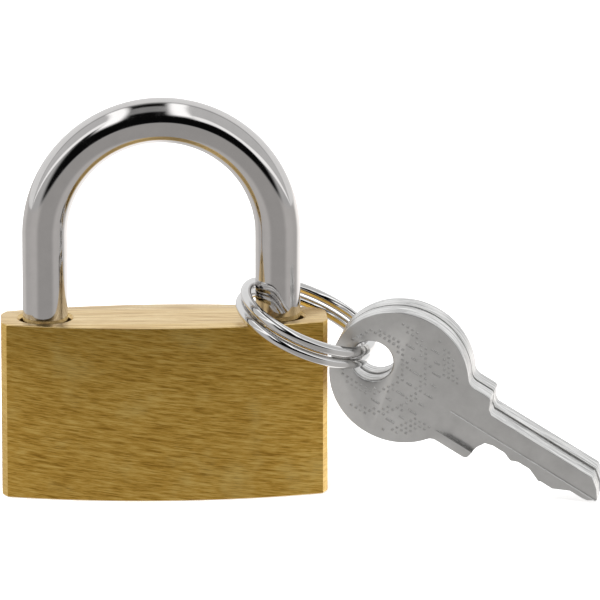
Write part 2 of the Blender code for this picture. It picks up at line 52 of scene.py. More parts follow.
# Sizes in millimetres, the same as the solids'
body_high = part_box("body")[1] / MM
HALF_WIDTH = body_high.x
BODY_HEIGHT = body_high.z
HALF_THICKNESS = body_high.y
END_HALF = 3.4
END_BEVEL_X = 0.65
END_BEVEL_Y = 1.2
EDGE_ROUND = 0.15
BAR_R = 2.8
LEG_R = 2.798          # a hair inside the bar's solid
TOE_INSET = 5.5
HEEL_INSET = 6.1
SHACKLE_STRAIGHT = 10.5
LEG_TIP_ROUND = 0.6
TOE_X = TOE_INSET - HALF_WIDTH
HEEL_X = HALF_WIDTH - HEEL_INSET
LEG_BORE_R = 3.2
COUNTERSINK = 0.35
ARCH_Z = BODY_HEIGHT + SHACKLE_STRAIGHT
ARCH_X = (TOE_X + HEEL_X) / 2
ARCH_RADIUS = (HEEL_X - TOE_X) / 2
PLUG_X = -5.3
PLUG_BORE_R = 4.6
PLUG_BORE_TOP = 17.55
CRANK_WELL_R = 2.12
CRANK_WELL_TOP = 19.05
CHAMBER_R = 1.3
PIN_HEIGHTS = (2.75, 6.43, 10.11, 13.79)
LATCH_Z = 19.25
LATCH_BORE_R = 1.5
LATCH_BORE_REACH = 8.6  # from the plug's axis to the bore's blind end
CROSS_PIN_CLEARANCE = 0.05
CROSS_PIN_GAP = 0.15
TOE_END = 15.8
HEEL_END = 8.0
HEEL_BORE_LOW = 2.7
NECK_R = 2.1
NECK_HIGH = 19.9
NECK_LOW = 10.1
NOTCH_LOW = 17.7
NOTCH_HIGH = 20.8
NOTCH_DEPTH = 1.5
RING_RADIUS = 8.4
RING_SOLID_R = 0.7
RING_WIRE_R = 0.675     # a hair inside the solid's many-sided wire
RING_COIL_STEP = 1.6
RING_OFFSET_Y = -1.4
RING_GAP = 0.12
RING_ROLL = math.radians(9.5)
RING_DIP = math.radians(22.5)
RING_TURN = Matrix.Rotation(RING_ROLL, 4, "X") @ Matrix.Rotation(RING_DIP, 4, "Y")
RING_CROSSOVER = math.radians(44)
RING_START = math.radians(143)
BOW_RADIUS = 8.8
KEY_HOLE_R = 2.65
KEY_HOLE_INSET = 3.9
KEY_HALF = 1.1
KEY_YAW = math.radians(-14.9)
KEY_LEAN = math.radians(9.7)
KEY_FAN = math.radians(1.2)
KEY_RING_ANGLE = math.radians(-16)
KEY_HANG = 1.1
KEY_DROP = 0.2
KEY_SPREAD = 1.225
TABLE_GAP = 0.05
KEY_TURN = Matrix.Rotation(KEY_YAW, 4, "Z") @ Matrix.Rotation(KEY_LEAN, 4, "X")
KEY_DEPTH = KEY_TURN @ Vector((0, 1, 0))
COLLAR_TOP = 4.2
COLLAR_BOTTOM = 4.7
COLLAR_TOP_END = 11.1
SHOULDER = 12.7
BLADE_TOP = 2.3
BLADE_UNCUT = 2.8
CUTS = (1.5, 1.6, 2.25, 1.2)
FIRST_PIN = 2.55
PIN_PITCH = 3.68
TIP_PAST_LAST = 2.5
TIP_CORNER_BACK = 0.9
TIP_CORNER_DROP = 1.1
KEY_TIP = SHOULDER + FIRST_PIN + 3 * PIN_PITCH + TIP_PAST_LAST
CUT_FLAT = 1.7
CUT_SLOPE = 0.45
BOW_FILLET_TOP = 1.5
BOW_FILLET_BOTTOM = 1.2
KEY_GROOVE_START = 7.0
KEY_GROOVE_RUNOUT = 2.5
KEY_GROOVE_DEPTH = 0.7
KEY_GROOVE_TOP = 0.3
KEY_GROOVE_BOTTOM = 3.5
BEAD_HALF = 0.21
BEAD_TALL = 0.09
BEAD_STEP_X = 0.66
BEAD_STEP_Z = 0.6
BEAD_FIELD_R = 7.5      # about the bow's centre
BEAD_HOLE_R = 3.6       # kept clear, about the hole's centre
BEAD_ARC_GAP = 0.85
DASH_HALF = 0.18
DASH_TALL = 0.10
DASH_LONG = 3.6         # times as long as wide, and every other one shorter
DASH_SHORTER = 1.2
DASH_ARCS = ((5.4, 7, 56.0), (8.2, 9, 44.0))    # radius about the hole, count, half spread


# ---------------------------------------------------------------- meshes
def at(x, y, z):
    """A place in millimetres."""
    return Matrix.Translation(Vector((x, y, z)) * MM)


def along(direction):
    """The turn that points local +Z along a direction."""
    return Vector((0, 0, 1)).rotation_difference(Vector(direction)).to_matrix().to_4x4()


def loft(rings):
    """Points and faces of a solid through rings of equal counts, closed by its end rings."""
    count = len(rings[0])
    verts = [v for ring in rings for v in ring]
    faces = []
    for i in range(len(rings) - 1):
        for k in range(count):
            n = (k + 1) % count
            low = i * count
            high = low + count
            faces.append((low + k, low + n, high + n, high + k))
    last = (len(rings) - 1) * count
    faces.append(tuple(reversed(range(count))))
    faces.append(tuple(last + k for k in range(count)))
    return verts, faces


def add_mesh(name, verts, faces, materials=(), place=None, sharp=32):
    """One mesh object from points in millimetres, with its faces turned outwards."""
    mesh = bpy.data.meshes.new(name)
    bm = bmesh.new()
    points = [bm.verts.new(Vector(v) * MM) for v in verts]
    for face in faces:
        bm.faces.new([points[i] for i in face])
    bmesh.ops.recalc_face_normals(bm, faces=bm.faces[:])
    bm.to_mesh(mesh)
    bm.free()
    mesh.shade_smooth()
    mesh.set_sharp_from_angle(angle=math.radians(sharp))
    obj = bpy.data.objects.new(name, mesh)
    for surface in materials:
        mesh.materials.append(surface)
    bpy.context.scene.collection.objects.link(obj)
    if place:
        obj.matrix_world = place
    return obj


def circle(radius, z, sides):
    """A ring of points about Z."""
    turns = [math.tau * k / sides for k in range(sides)]
    return [(radius * math.cos(a), radius * math.sin(a), z) for a in turns]


def turned(name, profile, place=None, sides=48):
    """A solid turned about local Z from (radius, height) pairs, lowest first."""
    verts, faces = loft([circle(r, z, sides) for r, z in profile])
    return add_mesh(name, verts, faces, (), place)


def tube_rings(points, radii, sides):
    """Rings of points round a line, with a radius at each of its points."""
    points = [Vector(p) for p in points]
    last = len(points) - 1
    ahead = points[1] - points[0]
    side = ahead.orthogonal().normalized()
    rings = []
    for i, point in enumerate(points):
        heading = points[min(i + 1, last)] - points[max(i - 1, 0)]
        side = ahead.rotation_difference(heading) @ side
        ahead = heading
        cross = ahead.cross(side).normalized()
        angles = [math.tau * k / sides for k in range(sides)]
        spokes = [math.cos(a) * side + math.sin(a) * cross for a in angles]
        rings.append([point + radii[i] * spoke for spoke in spokes])
    return rings


def apply_cuts(obj, cutters, sharp=32):
    """Cut solids out of an object for good, and remove the cutters."""
    for cutter in cutters:
        boolean = obj.modifiers.new(cutter.name, "BOOLEAN")
        boolean.operation = "DIFFERENCE"
        boolean.solver = "EXACT"
        boolean.object = cutter
    bpy.context.view_layer.update()
    graph = bpy.context.evaluated_depsgraph_get()
    mesh = bpy.data.meshes.new_from_object(obj.evaluated_get(graph))
    obj.modifiers.clear()
    obj.data = mesh
    mesh.shade_smooth()
    mesh.set_sharp_from_angle(angle=math.radians(sharp))
    for cutter in cutters:
        bpy.data.objects.remove(cutter)


def settle(obj):
    """Move an object's place into its mesh."""
    obj.data.transform(obj.matrix_world)
    obj.matrix_world = Matrix.Identity(4)


def drill(name, start, direction, depth, radius, sides=40):
    """A cutter for a round hole."""
    return turned(name, [(radius, 0), (radius, depth)], at(*start) @ along(direction), sides)


# ---------------------------------------------------------------- materials
class Nodes:
    """Small helpers for a node tree."""

    def __init__(self, tree):
        self.tree = tree

    def add(self, kind, **settings):
        node = self.tree.nodes.new(kind)
        for key, value in settings.items():
            setattr(node, key, value)
        return node

    def put(self, socket, value):
        if isinstance(value, bpy.types.NodeSocket):
            self.tree.links.new(value, socket)
        else:
            socket.default_value = value

    def math(self, operation, *values, clamp=False):
        node = self.add("ShaderNodeMath", operation=operation, use_clamp=clamp)
        for socket, value in zip(node.inputs, values):
            self.put(socket, value)
        return node.outputs[0]

    def times(self, first, second):
        return self.math("MULTIPLY", first, second)

    def plus(self, first, second):
        return self.math("ADD", first, second)

    def most(self, first, second):
        return self.math("MAXIMUM", first, second)

    def step(self, value, low, high, start=0.0, end=1.0):
        """Smoothly from one number to another as a value goes from low to high."""
        node = self.add("ShaderNodeMapRange", interpolation_type="SMOOTHSTEP")
        for socket, number in zip(node.inputs, (value, low, high, start, end)):
            self.put(socket, number)
        return node.outputs[0]

    def band(self, value, low, high, soft):
        """1 between two limits and 0 outside, with soft edges."""
        rise = self.step(value, low - soft, low + soft)
        fall = self.step(value, high - soft, high + soft, 1.0, 0.0)
        return self.times(rise, fall)

    def noise(self, coords, scale, detail=4.0, rough=0.55, stretch=(1, 1, 1), turn=(0, 0, 0)):
        if any(turn):
            spin = self.add("ShaderNodeMapping")
            spin.inputs["Rotation"].default_value = turn
            self.put(spin.inputs["Vector"], coords)
            coords = spin.outputs["Vector"]
        place = self.add("ShaderNodeMapping")
        place.inputs["Scale"].default_value = stretch
        self.put(place.inputs["Vector"], coords)
        node = self.add("ShaderNodeTexNoise")
        node.inputs["Scale"].default_value = scale
        node.inputs["Detail"].default_value = detail
        node.inputs["Roughness"].default_value = rough
        self.put(node.inputs["Vector"], place.outputs["Vector"])
        return node.outputs[0]

    def along(self, coords, direction):
        """How far a point lies along a direction."""
        node = self.add("ShaderNodeVectorMath", operation="DOT_PRODUCT")
        self.put(node.inputs[0], coords)
        node.inputs[1].default_value = direction
        return node.outputs["Value"]

    def ramp(self, value, stops):
        node = self.add("ShaderNodeValToRGB")
        elements = node.color_ramp.elements
        while len(elements) < len(stops):
            elements.new(0.5)
        for element, (spot, color) in zip(elements, stops):
            element.position = spot
            element.color = (*color, 1.0)
        self.put(node.inputs["Fac"], value)
        return node.outputs["Color"]

    def blend(self, share, first, second):
        node = self.add("ShaderNodeMix", data_type="RGBA")
        self.put(node.inputs["Factor"], share)
        for key, value in ((6, first), (7, second)):
            if not isinstance(value, bpy.types.NodeSocket):
                value = (*value, 1.0)
            self.put(node.inputs[key], value)
        return node.outputs[2]


def metal(name):
    """A new metal with its nodes helper, shader and object coordinates."""
    made = bpy.data.materials.new(name)
    made.use_nodes = True
    nodes = Nodes(made.node_tree)
    shader = made.node_tree.nodes["Principled BSDF"]
    shader.inputs["Metallic"].default_value = 1.0
    coords = nodes.add("ShaderNodeTexCoord").outputs["Object"]
    return made, nodes, shader, coords


def bump(nodes, shader, height, strength, distance):
    """Relief from a height, in millimetres."""
    node = nodes.add("ShaderNodeBump")
    node.inputs["Strength"].default_value = strength
    node.inputs["Distance"].default_value = distance * MM
    nodes.put(node.inputs["Height"], height)
    nodes.put(shader.inputs["Normal"], node.outputs["Normal"])


def brushed_brass(name, stretch, turn, dark, middle, light, relief=0.02, rough=(0.30, 0.46)):
    """Brass with long scratches one way, fine and coarse, and faint cloudy patches."""
    made, nodes, shader, coords = metal(name)
    fine = nodes.noise(coords, 1.0, 5.0, 0.62, stretch, turn)
    wide = tuple(s / 2.6 for s in stretch)
    coarse = nodes.noise(coords, 1.0, 3.0, 0.5, wide, turn)
    cloud = nodes.noise(coords, 160.0, 3.0, 0.6)
    streak = nodes.plus(nodes.times(fine, 0.66), nodes.times(coarse, 0.34))
    tone = nodes.ramp(streak, ((0.38, dark), (0.5, middle), (0.62, light)))
    patch = nodes.step(cloud, 0.52, 0.74, 0.0, 0.30)
    pale = tuple(min(1.0, c * 1.05 + 0.10) for c in light)
    nodes.put(shader.inputs["Base Color"], nodes.blend(patch, tone, pale))
    nodes.put(shader.inputs["Roughness"], nodes.step(streak, 0.35, 0.65, rough[1], rough[0]))
    bump(nodes, shader, streak, 0.55, relief)
    return made


def turned_metal(name, color, rough=0.28, pitch=5200.0):
    """Metal with fine tool marks across it."""
    made, nodes, shader, coords = metal(name)
    marks = nodes.noise(coords, 1.0, 4.0, 0.6, (pitch * 0.5, pitch * 0.5, pitch))
    cloud = nodes.noise(coords, 900.0, 3.0)
    low = tuple(c * 0.82 for c in color)
    high = tuple(min(1.0, c * 1.12) for c in color)
    nodes.put(shader.inputs["Base Color"], nodes.ramp(marks, ((0.35, low), (0.65, high))))
    nodes.put(shader.inputs["Roughness"], nodes.step(cloud, 0.3, 0.7, rough - 0.06, rough + 0.1))
    bump(nodes, shader, marks, 0.4, 0.01)
    return made


def plated(name, color, rough=0.07, scratch=0.35):
    """Polished nickel plate: a faint haze, hair-fine scratches and specks."""
    made, nodes, shader, coords = metal(name)
    haze = nodes.noise(coords, 420.0, 4.0, 0.6)
    hairs = nodes.noise(coords, 1.0, 3.0, 0.7, (9000, 9000, 700))
    dim = tuple(c * 0.93 for c in color)
    nodes.put(shader.inputs["Base Color"], nodes.ramp(haze, ((0.3, dim), (0.7, color))))
    roughness = nodes.step(haze, 0.35, 0.72, rough - 0.025, rough + 0.05)
    nodes.put(shader.inputs["Roughness"], roughness)
    specks = nodes.times(nodes.noise(coords, 3000.0, 2.0, 0.6), 0.8)
    bump(nodes, shader, nodes.plus(hairs, specks), scratch, 0.0012)
    return made


def key_nickel(name):
    """Satin nickel: fine grain on the faces, milling lines along the cut edges."""
    made, nodes, shader, coords = metal(name)
    normal = nodes.add("ShaderNodeTexCoord").outputs["Normal"]
    face = nodes.step(nodes.math("ABSOLUTE", nodes.along(normal, KEY_DEPTH)), 0.55, 0.8)
    edge = nodes.math("SUBTRACT", 1.0, face)
    parts = nodes.add("ShaderNodeSeparateXYZ")
    nodes.put(parts.inputs[0], coords)
    flat = nodes.add("ShaderNodeCombineXYZ")
    nodes.put(flat.inputs[0], nodes.times(parts.outputs["X"], 260.0))
    nodes.put(flat.inputs[1], nodes.times(nodes.along(coords, KEY_DEPTH), 7000.0))
    nodes.put(flat.inputs[2], nodes.times(parts.outputs["Z"], 260.0))
    grain = nodes.noise(coords, 5200.0, 3.0, 0.6)
    lines = nodes.noise(flat.outputs[0], 1.0, 3.0, 0.6)
    cloud = nodes.noise(coords, 330.0, 4.0, 0.6)
    height = nodes.plus(nodes.times(face, grain), nodes.times(edge, lines))
    tone = nodes.ramp(cloud, ((0.3, (0.70, 0.70, 0.69)), (0.7, (0.82, 0.82, 0.81))))
    milled = nodes.ramp(lines, ((0.38, (0.44, 0.44, 0.435)), (0.58, (0.90, 0.90, 0.89))))
    nodes.put(shader.inputs["Base Color"], nodes.blend(face, milled, tone))
    nodes.put(shader.inputs["Roughness"], nodes.step(grain, 0.3, 0.7, 0.30, 0.42))
    bump(nodes, shader, height, 0.45, 0.007)
    return made


body_face = brushed_brass(
    "body_brass_face", (520, 520, 7200), (0, math.radians(-7.5), 0),
    (0.46, 0.250, 0.036), (0.77, 0.462, 0.088), (0.97, 0.665, 0.185))
# the top's paler, less golden tones are a painted sheen from the light overhead; its brushing is
# its own
body_top_painted_sheen = brushed_brass(
    "body_brass_top_painted_sheen", (150, 2600, 2600), (0, 0, math.radians(1.5)),
    (0.56, 0.37, 0.15), (0.74, 0.52, 0.215), (0.86, 0.66, 0.32), rough=(0.24, 0.38))
body_end = brushed_brass(
    "body_brass_end", (3600, 240, 3600), (0, 0, 0),
    (0.56, 0.33, 0.06), (0.80, 0.50, 0.10), (0.95, 0.66, 0.18))
# the bores' brass is much darker than the faces': painted shade inside the holes
shaded_bore_brass = turned_metal("shaded_bore_brass", (0.40, 0.26, 0.085), 0.34)
body_bevel = brushed_brass(
    "body_brass_bevel", (900, 900, 5200), (0, 0, 0),
    (0.66, 0.42, 0.085), (0.76, 0.50, 0.115), (0.86, 0.60, 0.165), 0.012, (0.34, 0.42))
plug_brass = brushed_brass(
    "plug_brass", (2600, 300, 2600), (0, 0, 0),
    (0.50, 0.31, 0.07), (0.74, 0.49, 0.14), (0.90, 0.64, 0.20))
pin_brass = turned_metal("pin_brass", (0.80, 0.58, 0.22), 0.26)
shackle_plate = plated("shackle_plate", (0.655, 0.640, 0.632))
ring_plate = plated("ring_plate", (0.72, 0.715, 0.71), 0.055, 0.25)
spring_wire = turned_metal("spring_wire", (0.52, 0.52, 0.53), 0.25)
latch_steel = turned_metal("latch_steel", (0.58, 0.57, 0.56), 0.3)
nickel = key_nickel("key_nickel")
# the marks' nickel is darker than the key's: painted shade standing in for the shading of their
# raised sides
shaded_mark_nickel = turned_metal("key_mark_painted_shade", (0.62, 0.62, 0.61), 0.33, 3000.0)

slot_surface = {
    "body_brass": body_face, "plug_brass": plug_brass, "pin_brass": pin_brass,
    "plated_steel": shackle_plate, "ring_steel": ring_plate, "latch_steel": latch_steel,
    "spring_steel": spring_wire, "key_nickel": nickel}
for entry in frame["record"]["subparts"]:
    node = frame["nodes"][entry["node"]]
    surface = slot_surface[entry["material_slot"]]
    if not node.material_slots:
        node.data.materials.append(surface)
    for holder in node.material_slots:
        holder.material = surface


# ---------------------------------------------------------------- body
def half_depth(x):
    """The body's half thickness at a distance from its middle."""
    bulge = HALF_THICKNESS - END_HALF
    radius = (HALF_WIDTH ** 2 + bulge ** 2) / (2 * bulge)
    return HALF_THICKNESS - radius + math.sqrt(radius ** 2 - x ** 2)


def body_outline(z, inset, steps=72):
    """The body's plan, with curved front and back and bevelled, slightly rounded ends."""
    reach = HALF_WIDTH - END_BEVEL_X
    scale = (HALF_WIDTH - inset) / HALF_WIDTH
    xs = [-reach + 2 * reach * i / steps for i in range(steps + 1)]
    front = [(x * scale, inset - half_depth(x), z) for x in xs]
    end = half_depth(HALF_WIDTH) - END_BEVEL_Y
    far = HALF_WIDTH - inset
    nick = 0.12
    right = [(far - nick, -end - nick * END_BEVEL_Y / END_BEVEL_X, z), (far, -end + nick, z)]
    right += [(x, -y, z) for x, y, _ in reversed(right)]
    back = [(x, -y, z) for x, y, _ in reversed(front)]
    left = [(-x, -y, z) for x, y, _ in right]
    return front + right + back + left


def build_body():
    """The brass block with softly broken edges and every bore that opens on its faces."""
    layers = []
    for a in (0, 22.5, 45, 67.5, 90):
        turn = math.radians(a)
        layers.append((EDGE_ROUND * (1 - math.cos(turn)), EDGE_ROUND * (1 - math.sin(turn))))
    rows = layers + [(BODY_HEIGHT - z, inset) for z, inset in reversed(layers)]
    verts, faces = loft([body_outline(z, inset) for z, inset in sorted(rows)])
    surfaces = (body_face, body_top_painted_sheen, body_end, shaded_bore_brass, body_bevel)
    body = add_mesh("body_detail", verts, faces, surfaces)
    over = 1.0      # how far the cutters stand outside the block
    top = BODY_HEIGHT
    cutters = []
    for name, x, low in (("toe", TOE_X, TOE_END - 0.3), ("heel", HEEL_X, HEEL_BORE_LOW)):
        profile = [(LEG_BORE_R, low), (LEG_BORE_R, top - COUNTERSINK - 0.08)]
        profile += [(LEG_BORE_R + 0.03, top - COUNTERSINK), (LEG_BORE_R + COUNTERSINK, top - 0.02)]
        profile += [(LEG_BORE_R + COUNTERSINK + 0.05, top + over)]
        cutters.append(turned(name, profile, at(x, 0, 0), 72))
    up, across = (0, 0, 1), (1, 0, 0)
    depth = PLUG_BORE_TOP + over
    cutters.append(drill("plug_bore", (PLUG_X, 0, -over), up, depth, PLUG_BORE_R, 72))
    low = PLUG_BORE_TOP - over
    depth = CRANK_WELL_TOP - PLUG_BORE_TOP + over
    cutters.append(drill("crank_well", (PLUG_X, 0, low), up, depth, CRANK_WELL_R))
    start = -HALF_WIDTH - over
    for i, z in enumerate(PIN_HEIGHTS):
        depth = PLUG_X + HALF_WIDTH + over - PLUG_BORE_R + 0.5
        cutters.append(drill(f"chamber_{i}", (start, 0, z), across, depth, CHAMBER_R))
    depth = PLUG_X + LATCH_BORE_REACH + HALF_WIDTH + over
    cutters.append(drill("latch", (start, 0, LATCH_Z), across, depth, LATCH_BORE_R))
    for name in ("cylinder_retaining_pin", "shackle_retaining_pin"):
        low, high = [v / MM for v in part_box(name)]
        radius = (high.x - low.x) / 2 + CROSS_PIN_CLEARANCE
        start = ((low.x + high.x) / 2, low.y - CROSS_PIN_GAP, (low.z + high.z) / 2)
        cutters.append(drill(name + "_hole", start, (0, 1, 0), 2 * HALF_THICKNESS, radius, 32))
    apply_cuts(body, cutters, 25)
    for face in body.data.polygons:
        centre = face.center / MM
        side = abs(centre.x)
        near = EDGE_ROUND + 0.05
        outer = abs(abs(centre.y) - half_depth(min(side, HALF_WIDTH))) < near + 0.05
        flat = centre.z > BODY_HEIGHT - near or centre.z < near
        # faces inside the bores take the darkened brass, painted shade in the holes
        surface = shaded_bore_brass
        # the top and bottom faces take the paler brass with its painted sheen
        if flat and abs(face.normal.z) > 0.5:
            surface = body_top_painted_sheen
        elif side > HALF_WIDTH - END_BEVEL_X - 0.1:
            surface = body_end if side > HALF_WIDTH - 0.1 else body_bevel
        elif outer:
            surface = body_face
        face.material_index = surfaces.index(surface)
    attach(body, "case")
    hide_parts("body")


# ---------------------------------------------------------------- shackle
def leg_tip(x, end):
    """A leg's rounded tip, from its flat end upwards, as places and radii."""
    rows = []
    for a in (90, 70, 50, 30, 12, 0):
        turn = math.radians(a)
        z = end + LEG_TIP_ROUND * (1 - math.sin(turn))
        rows.append((x, z, LEG_R - LEG_TIP_ROUND * (1 - math.cos(turn))))
    return rows


def build_shackle():
    """The bent bar, with rounded tips, its notch, and the necked end of the heel leg."""
    line = leg_tip(TOE_X, TOE_END)
    steps = 120
    gap = 0.8
    for i in range(6):
        line.append((TOE_X, TOE_END + gap + (ARCH_Z - TOE_END - 2 * gap) * i / 5, LEG_R))
    for i in range(steps + 1):
        a = math.pi - math.pi * i / steps
        x = ARCH_X + ARCH_RADIUS * math.cos(a)
        line.append((x, ARCH_Z + ARCH_RADIUS * math.sin(a), LEG_R))
    line += [(HEEL_X, NECK_HIGH + 0.25, LEG_R), (HEEL_X, NECK_HIGH + 0.05, LEG_R - 0.05)]
    line += [(HEEL_X, NECK_HIGH, LEG_R - 0.2), (HEEL_X, NECK_HIGH - 0.12, NECK_R)]
    line += [(HEEL_X, NECK_LOW + 0.12, NECK_R), (HEEL_X, NECK_LOW, LEG_R - 0.1)]
    line += [(HEEL_X, NECK_LOW - 0.1, LEG_R)]
    line += reversed(leg_tip(HEEL_X, HEEL_END))
    points = [(x, 0, z) for x, z, _ in line]
    rings = tube_rings(points, [r for _, _, r in line], 72)
    verts, faces = loft(rings)
    shackle = add_mesh("shackle_bar", verts, faces, (shackle_plate,), sharp=40)
    inner = TOE_X + LEG_R
    low, high = (inner - NOTCH_DEPTH, -6, NOTCH_LOW), (inner + 1, 6, NOTCH_HIGH)
    corners = ((low[0], low[1]), (high[0], low[1]), (high[0], high[1]), (low[0], high[1]))
    verts, faces = loft([[(x, y, z) for x, y in corners] for z in (low[2], high[2])])
    apply_cuts(shackle, [add_mesh("notch", verts, faces)], 40)
    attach(shackle, "shackle")
    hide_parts("shackle")


# ---------------------------------------------------------------- split ring
def ring_centre():
    """The ring's centre: against the heel leg, resting on the edges of the body's top."""
    offset = Vector((0, RING_OFFSET_Y, 0))
    loop = []
    for height in (-RING_COIL_STEP / 2, RING_COIL_STEP / 2):
        for i in range(360):
            a = math.radians(i)
            spot = Vector((RING_RADIUS * math.cos(a), RING_RADIUS * math.sin(a), height))
            loop.append(RING_TURN @ spot + offset)
    reach = BAR_R + RING_SOLID_R + RING_GAP
    behind = [spot for spot in loop if spot.x < 0 and abs(spot.y) < reach]
    centre_x = HEEL_X + min(-math.sqrt(reach ** 2 - spot.y ** 2) - spot.x for spot in behind)
    reach = RING_SOLID_R + RING_GAP
    rest = 0.0
    for spot in loop:
        x = centre_x + spot.x
        if abs(x) > HALF_WIDTH:
            continue
        outside = max(0.0, abs(spot.y) - half_depth(x))
        if outside < reach:
            rest = max(rest, BODY_HEIGHT + math.sqrt(reach ** 2 - outside ** 2) - spot.z)
    return Vector((centre_x, RING_OFFSET_Y, rest))


def build_ring():
    """Two turns of spring wire, one over the other, with a crossover and rounded ends."""
    place = at(*ring_centre()) @ RING_TURN
    total = 2 * math.tau - 0.9 * RING_CROSSOVER
    steps = 360
    points, radii = [], []
    for i in range(steps + 1):
        a = total * i / steps
        share = min(max((a - math.tau + RING_CROSSOVER) / RING_CROSSOVER, 0.0), 1.0)
        height = RING_COIL_STEP / 2 - RING_COIL_STEP * (3 - 2 * share) * share * share
        turn = a + RING_START
        points.append((RING_RADIUS * math.cos(turn), RING_RADIUS * math.sin(turn), height))
        end = min(i, steps - i) / 4
        radii.append(RING_WIRE_R * (0.35 + 0.65 * math.sqrt(1 - (1 - min(end, 1.0)) ** 2)))
    verts, faces = loft(tube_rings(points, radii, 32))
    ring = add_mesh("split_ring_wire", verts, faces, (ring_plate,), place, 60)
    settle(ring)
    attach(ring, "ring")
    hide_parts("split_ring")


# ---------------------------------------------------------------- keys
def arc(centre, radius, start, end, steps):
    """Points of an arc in the key's plane, from one angle to another in degrees."""
    turns = [math.radians(start + (end - start) * i / steps) for i in range(steps + 1)]
    return [(centre[0] + radius * math.cos(a), centre[1] + radius * math.sin(a)) for a in turns]


def bow_fillet(height, radius):
    """The centre of the fillet between the round bow and a collar edge at a height."""
    z = height + math.copysign(radius, height)
    return math.sqrt((BOW_RADIUS + radius) ** 2 - z ** 2), z


def key_outline():
    """The key's face, anticlockwise from the fillet above the blade, about the bow's centre."""
    top = bow_fillet(COLLAR_TOP, BOW_FILLET_TOP)
    bottom = bow_fillet(-COLLAR_BOTTOM, BOW_FILLET_BOTTOM)
    top_angle = math.degrees(math.atan2(top[1], top[0]))
    bottom_angle = math.degrees(math.atan2(bottom[1], bottom[0])) % 360
    points = arc(top, BOW_FILLET_TOP, 270, 180 + top_angle, 10)
    points += arc((0, 0), BOW_RADIUS, top_angle, bottom_angle, 120)[1:-1]
    points += arc(bottom, BOW_FILLET_BOTTOM, bottom_angle - 180, 90, 10)
    points += arc((SHOULDER - 0.8, -COLLAR_BOTTOM + 0.7), 0.7, 270, 330, 6)
    points += [(SHOULDER, -COLLAR_BOTTOM + 1.3), (SHOULDER + 0.15, -BLADE_UNCUT)]
    points += [(SHOULDER + 0.7, -BLADE_UNCUT + 1.0)]
    for i, depth in enumerate(CUTS):
        middle = SHOULDER + FIRST_PIN + PIN_PITCH * i
        points += [(middle - CUT_FLAT / 2, -depth), (middle + CUT_FLAT / 2, -depth)]
        if i + 1 < len(CUTS):
            share = ((CUTS[i + 1] - depth) / CUT_SLOPE + PIN_PITCH - CUT_FLAT) / 2
            if 0 < share < PIN_PITCH - CUT_FLAT:
                points.append((middle + CUT_FLAT / 2 + share, -depth - CUT_SLOPE * share))
    points += [(KEY_TIP - TIP_CORNER_BACK, -TIP_CORNER_DROP)]
    points += [(KEY_TIP - 0.15, -0.55), (KEY_TIP, 0.0)]
    points += [(KEY_TIP - 0.8, 1.2), (KEY_TIP - 1.7, 2.0), (KEY_TIP - 2.1, BLADE_TOP)]
    points += [(COLLAR_TOP_END + 1.0, BLADE_TOP), (COLLAR_TOP_END + 0.4, BLADE_TOP + 0.5)]
    points += arc((COLLAR_TOP_END - 0.5, COLLAR_TOP - 0.5), 0.5, 0, 90, 6)
    return points


def shrunk(points, inset):
    """An outline moved inwards by a small distance."""
    count = len(points)
    moved = []
    for i, (x, z) in enumerate(points):
        before = Vector(points[i - 1])
        after = Vector(points[(i + 1) % count])
        here = Vector((x, z))
        first = (here - before).normalized()
        second = (after - here).normalized()
        normal = Vector((-(first.y + second.y), first.x + second.x))
        if normal.length < 1e-6:
            normal = Vector((-first.y, first.x))
        normal.normalize()
        cosine = max(normal.dot(Vector((-first.y, first.x))), 0.6)
        moved.append((x + normal.x * inset / cosine, z + normal.y * inset / cosine))
    return moved


def add_bead(bm, centre, size, tall, side, long=1.0):
    """A small raised pad with sloping sides on a key's face, sunk a little into it."""
    base = []
    crown = []
    for dx, dz in ((-1, -1), (1, -1), (1, 1), (-1, 1)):
        for ring, share, depth in ((base, 1.0, -0.08), (crown, 0.55, tall)):
            x = dx * size * (long - 1.0 + share)
            z = dz * size * share
            spot = Vector((centre[0] + x, side * (KEY_HALF + depth), centre[1] + z))
            ring.append(bm.verts.new(spot * MM))
    for i in range(4):
        n = (i + 1) % 4
        bm.faces.new((base[i], base[n], crown[n], crown[i]))
    bm.faces.new(crown)
    bm.faces.new(base[::-1])


def build_marks(name, place, body):
    """The raised pattern on both faces of a bow: fine dots, and plain dashes along two arcs."""
    bm = bmesh.new()
    hole = Vector((-KEY_HOLE_INSET, 0))
    for side in (-1, 1):
        row = 0
        z = -7.2
        while z < 7.2:
            x = -7.4 + (row % 2) * BEAD_STEP_X / 2
            while x < 7.0:
                spot = Vector((x, z))
                away = (spot - hole).length
                clear = min(abs(away - radius) for radius, _, _ in DASH_ARCS) > BEAD_ARC_GAP
                neck = spot.x > 4.6 and abs(spot.y) < 3.2
                inside = away > BEAD_HOLE_R and spot.length < BEAD_FIELD_R
                if inside and clear and not neck:
                    add_bead(bm, (x + KEY_HOLE_INSET, z), BEAD_HALF, BEAD_TALL, side)
                x += BEAD_STEP_X
            row += 1
            z += BEAD_STEP_Z
        for radius, count, spread in DASH_ARCS:
            for i in range(count):
                a = math.radians(spread * (2 * i / (count - 1) - 1))
                spot = (radius * math.cos(a), radius * math.sin(a))
                long = DASH_LONG - DASH_SHORTER * (i % 2)
                add_bead(bm, spot, DASH_HALF, DASH_TALL, side, long)
    bmesh.ops.recalc_face_normals(bm, faces=bm.faces[:])
    mesh = bpy.data.meshes.new(name)
    bm.to_mesh(mesh)
    bm.free()
    # the dots and dashes take the darker nickel, a painted relief shade
    mesh.materials.append(shaded_mark_nickel)
    marks = bpy.data.objects.new(name, mesh)
    bpy.context.scene.collection.objects.link(marks)
    marks.matrix_world = place
    settle(marks)
    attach(marks, body)


